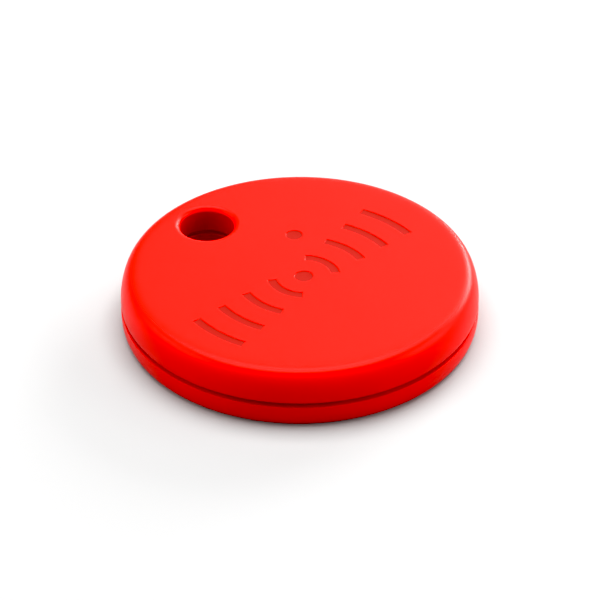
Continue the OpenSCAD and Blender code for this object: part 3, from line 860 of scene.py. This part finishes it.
circuit_board()
radio_chip()
crystal("rf_crystal_can", "rf_crystal", RF_CRYSTAL, (2.0, 1.6), 20)
crystal("clock_crystal_can", "clock_crystal", CLOCK_CRYSTAL, (1.5, 3.2))
chip_antenna()
buzzer_driver()
coil()
bulk_capacitor()
chips("ceramic_capacitor_chips", "ceramic_capacitors", CAPACITORS,
      [capacitor_ceramic, solder])
chips("resistor_chips", "resistors", resistor_spots(), [chip_resin, solder])


# ---- Springs under the buzzer and the button ----

SHEET = 0.1


def leaf(foot, tip_z, width=0.9):
    """A leaf that runs along +Y from its foot on the board to its tip under the buzzer."""
    path = [(-1.0, 0.0), (-0.1, 0.0), (0.15, 0.02), (2.0, tip_z - 0.03), (2.25, tip_z),
            (2.55, tip_z - 0.02)]
    rings = []
    for i, (y, z) in enumerate(path):
        half = width / 2 * (0.75 if i >= len(path) - 2 else 1.0)
        low, high = BOARD_TOP + z, BOARD_TOP + z + SHEET
        corners = ((-half, low), (half, low), (half, high), (-half, high))
        rings.append([(foot[0] + x, foot[1] + y, h) for x, h in corners])
    return loft(rings)


def buzzer_springs():
    low, high = size_of("buzzer_springs")
    plate_gap = high.z - SHEET - BOARD_TOP
    rim_leaf = leaf((-6.1, PIEZO_AT[1] - 2.6), plate_gap)
    middle_leaf = leaf((0, PIEZO_AT[1] - 1.3), plate_gap - 0.1)
    leaves = merge([rim_leaf, middle_leaf])
    springs = place(leaves, "buzzer_spring_leaves", "core", contact_spring,
                    ["buzzer_springs"])
    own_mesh(springs)


def switch_dome():
    low, high = size_of("switch_dome")
    rim = high.x
    foil = 0.04
    rise = high.z - low.z - foil
    steps = 14
    top = []
    for i in range(1, steps + 1):
        swell = math.cos(math.pi / 2 * i / steps) ** 1.2
        top.append((rim * i / steps, low.z + foil + rise * swell))
    bottom = [(r, z - foil) for r, z in reversed(top)]
    dome = lathe(top + bottom, SMALL_TURN, SWITCH_AT)
    dome = place(dome, "switch_dome_spring", "core", spring_steel, ["switch_dome"])
    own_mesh(dome)


buzzer_springs()
switch_dome()


# ---- CAD nodes that keep their shape ----

CAD_FINISH = {
    "inner_frame": frame_plastic, "driver_leads": plated_metal, "negative_contact": contact_spring,
    "positive_clips": plated_metal, "switch_base": chip_resin, "switch_cover": spring_steel,
    "switch_plunger": white_ceramic, "buzzer_plate": brass_plate, "buzzer_ceramic": silvered_ceramic,
    "buzzer_glue": glue, "battery_cathode": cathode_mix, "battery_separator": separator_felt,
    "battery_anode": lithium,
}
for node, material in CAD_FINISH.items():
    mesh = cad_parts[node].data
    mesh.materials.clear()
    mesh.materials.append(material)


# ---- Stage, light and camera ----

FLOOR_R = 0.22


def stage_floor():
    bm = bmesh.new()
    bm.faces.new([bm.verts.new((x, y, 0)) for x, y in circle(FLOOR_R, TURN)])
    ground = new_piece(bm, "floor")
    material, tree, bsdf = shader("pale_floor", (0.32, 0.32, 0.32), 0.9, specular=0.05)
    vary_roughness(tree, bsdf, noise(tree, 40, 2), 0.85, 0.95)
    ground.data.materials.append(material)


CAMERA_AZIMUTH = -48.9
CAMERA_ELEVATION = 35.5
CAMERA_DISTANCE = 0.4
CAMERA_LENS = 226.5
CAMERA_ROLL = -0.17


def direction(azimuth, elevation):
    """Unit vector from the tag towards a camera or light at that azimuth and elevation."""
    a, e = math.radians(azimuth), math.radians(elevation)
    return Vector((math.sin(a) * math.cos(e), -math.cos(a) * math.cos(e), math.sin(e)))


def camera():
    data = bpy.data.cameras.new("camera")
    data.lens = CAMERA_LENS
    data.sensor_width = 36
    data.clip_start, data.clip_end = 0.01, 20
    view = bpy.data.objects.new("camera", data)
    bpy.context.scene.collection.objects.link(view)
    back = direction(CAMERA_AZIMUTH, CAMERA_ELEVATION)
    turn = back.to_track_quat("Z", "Y")
    right, up = turn @ Vector((1, 0, 0)), turn @ Vector((0, 1, 0))
    # The tag sits a little left of and above the middle of the picture.
    aim = Vector((0, 0, TAG_H / 2 * MM)) + right * 0.00002 - up * 0.00062
    view.location = aim + back * CAMERA_DISTANCE
    view.rotation_mode = "QUATERNION"
    view.rotation_quaternion = turn @ Matrix.Rotation(math.radians(CAMERA_ROLL), 4, "Z").to_quaternion()
    bpy.context.scene.camera = view


def softbox(name, azimuth, elevation, distance, size, radiance):
    """A diffuser of that size and brightness, facing the tag. Azimuth is measured from the camera's."""
    data = bpy.data.lights.new(name, "AREA")
    data.shape = "RECTANGLE"
    data.size, data.size_y = size
    data.energy = radiance * math.pi * size[0] * size[1]
    lamp = bpy.data.objects.new(name, data)
    bpy.context.scene.collection.objects.link(lamp)
    toward = direction(CAMERA_AZIMUTH + azimuth, elevation)
    lamp.location = toward * distance
    lamp.rotation_mode = "QUATERNION"
    lamp.rotation_quaternion = toward.to_track_quat("Z", "Y")
    lamp.visible_camera = False


BLACK_LEVEL = 0.02


def studio():
    softbox("overhead", 180, 77, 0.6, (0.6, 0.4), 12.5)
    softbox("backdrop_glow", 164, 25, 0.8, (0.5, 0.6), 2.2)
    softbox("front", 0, 30, 0.7, (0.8, 0.5), 0.1)
    softbox("back_right", 144, 17, 0.6, (0.32, 0.22), 26.0)
    softbox("right", 85, 22, 0.6, (0.4, 0.3), 5.5)
    softbox("left", -85, 30, 0.6, (0.5, 0.3), 4.0)
    world = bpy.data.worlds.new("studio")
    bpy.context.scene.world = world
    world.use_nodes = True
    nodes, links = world.node_tree.nodes, world.node_tree.links
    glow = nodes["Background"]
    glow.inputs["Color"].default_value = (1, 1, 1, 1)
    glow.inputs["Strength"].default_value = 0.3
    pale = nodes.new("ShaderNodeBackground")
    pale.inputs["Color"].default_value = (1, 1, 1, 1)
    seen = nodes.new("ShaderNodeLightPath")
    mix = nodes.new("ShaderNodeMixShader")
    links.new(seen.outputs["Is Camera Ray"], mix.inputs["Fac"])
    links.new(glow.outputs["Background"], mix.inputs[1])
    links.new(pale.outputs["Background"], mix.inputs[2])
    links.new(mix.outputs["Shader"], nodes["World Output"].inputs["Surface"])
    grade = bpy.context.scene.view_settings
    grade.view_transform = "Standard"
    grade.look = "None"
    grade.use_curve_mapping = True
    grade.curve_mapping.black_level = (BLACK_LEVEL,) * 3
    grade.curve_mapping.update()


stage_floor()
camera()
studio()
